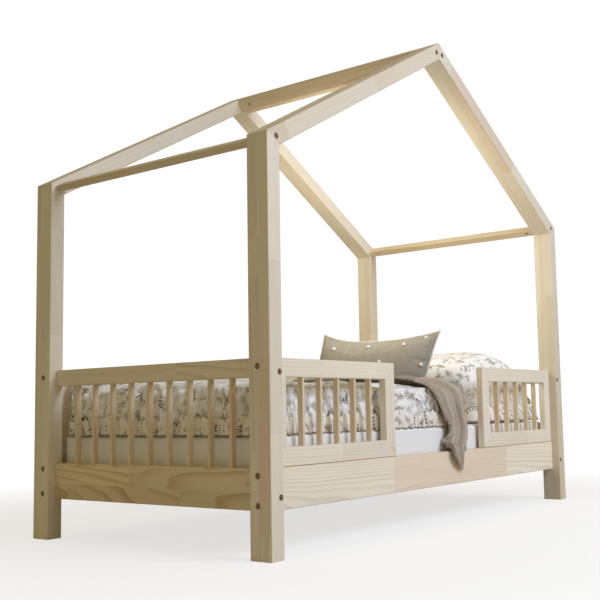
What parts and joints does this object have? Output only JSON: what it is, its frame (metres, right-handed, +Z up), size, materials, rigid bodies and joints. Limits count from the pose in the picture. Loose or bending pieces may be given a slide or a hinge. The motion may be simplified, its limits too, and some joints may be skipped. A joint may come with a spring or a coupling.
{
  "type": "toddler house bed",
  "caption": "Pine toddler bed with a house-shaped roof frame, slatted guards open at one long side, a slatted base, mattress, quilt, pillow, cushion and throw.",
  "frame": {"origin": "on the floor, under the middle of the bed's footprint", "axes": "+X along the bed towards the head end, -Y towards the open long side with the two short guards, +Z up"},
  "size_m": [1.5, 0.8, 1.3382],
  "materials": {
    "pine_frame": "clear matt-lacquered finger-jointed pine",
    "pine_slats": "clear matt-lacquered pine, slightly warmer",
    "pine_base": "planed raw pine",
    "sheet_cotton": "plain white fitted sheet",
    "duvet_cotton": "white cotton with small brown and olive sprigs, frilled hem",
    "pillow_cotton": "white cotton with sprigs, frilled hem",
    "cushion_linen": "grey-beige linen with cream dots",
    "throw_weave": "beige weave with cream stripes"
  },
  "bodies": {
    "root": {"post_foot_front": "pine_frame", "post_foot_back": "pine_frame", "post_head_front": "pine_frame", "post_head_back": "pine_frame", "rafter_foot_front": "pine_frame", "rafter_foot_back": "pine_frame", "eaves_beam_foot": "pine_frame", "ridge_beam_foot": "pine_frame", "rafter_head_front": "pine_frame", "rafter_head_back": "pine_frame", "eaves_beam_head": "pine_frame", "ridge_beam_head": "pine_frame", "foot_board": "pine_frame", "foot_top_rail": "pine_frame", "head_board": "pine_frame", "head_top_rail": "pine_frame", "front_board": "pine_frame", "back_board": "pine_frame", "guard_a_top_rail": "pine_frame", "guard_a_bottom_rail": "pine_frame", "guard_a_foot_stile": "pine_frame", "guard_a_head_stile": "pine_frame", "guard_b_top_rail": "pine_frame", "guard_b_bottom_rail": "pine_frame", "guard_b_foot_stile": "pine_frame", "guard_b_head_stile": "pine_frame", "back_guard_top_rail": "pine_frame", "back_guard_bottom_rail": "pine_frame", "back_guard_foot_stile": "pine_frame", "back_guard_head_stile": "pine_frame", "foot_slat_1": "pine_slats", "foot_slat_2": "pine_slats", "foot_slat_3": "pine_slats", "foot_slat_4": "pine_slats", "foot_slat_5": "pine_slats", "foot_slat_6": "pine_slats", "foot_slat_7": "pine_slats", "foot_slat_8": "pine_slats", "foot_slat_9": "pine_slats", "head_slats": "pine_slats", "guard_a_slat_1": "pine_slats", "guard_a_slat_2": "pine_slats", "guard_a_slat_3": "pine_slats", "guard_a_slat_4": "pine_slats", "guard_a_slat_5": "pine_slats", "guard_b_slat_1": "pine_slats", "guard_b_slat_2": "pine_slats", "guard_b_slat_3": "pine_slats", "guard_b_slat_4": "pine_slats", "guard_b_slat_5": "pine_slats", "back_guard_slats_foot": "pine_slats", "back_guard_slats_head": "pine_slats", "front_ledge": "pine_base", "back_ledge": "pine_base", "slatted_base": "pine_base", "mattress": "sheet_cotton", "duvet": "duvet_cotton", "pillow": "pillow_cotton", "cushion": "cushion_linen", "throw": "throw_weave"}
  },
  "joints": []
}
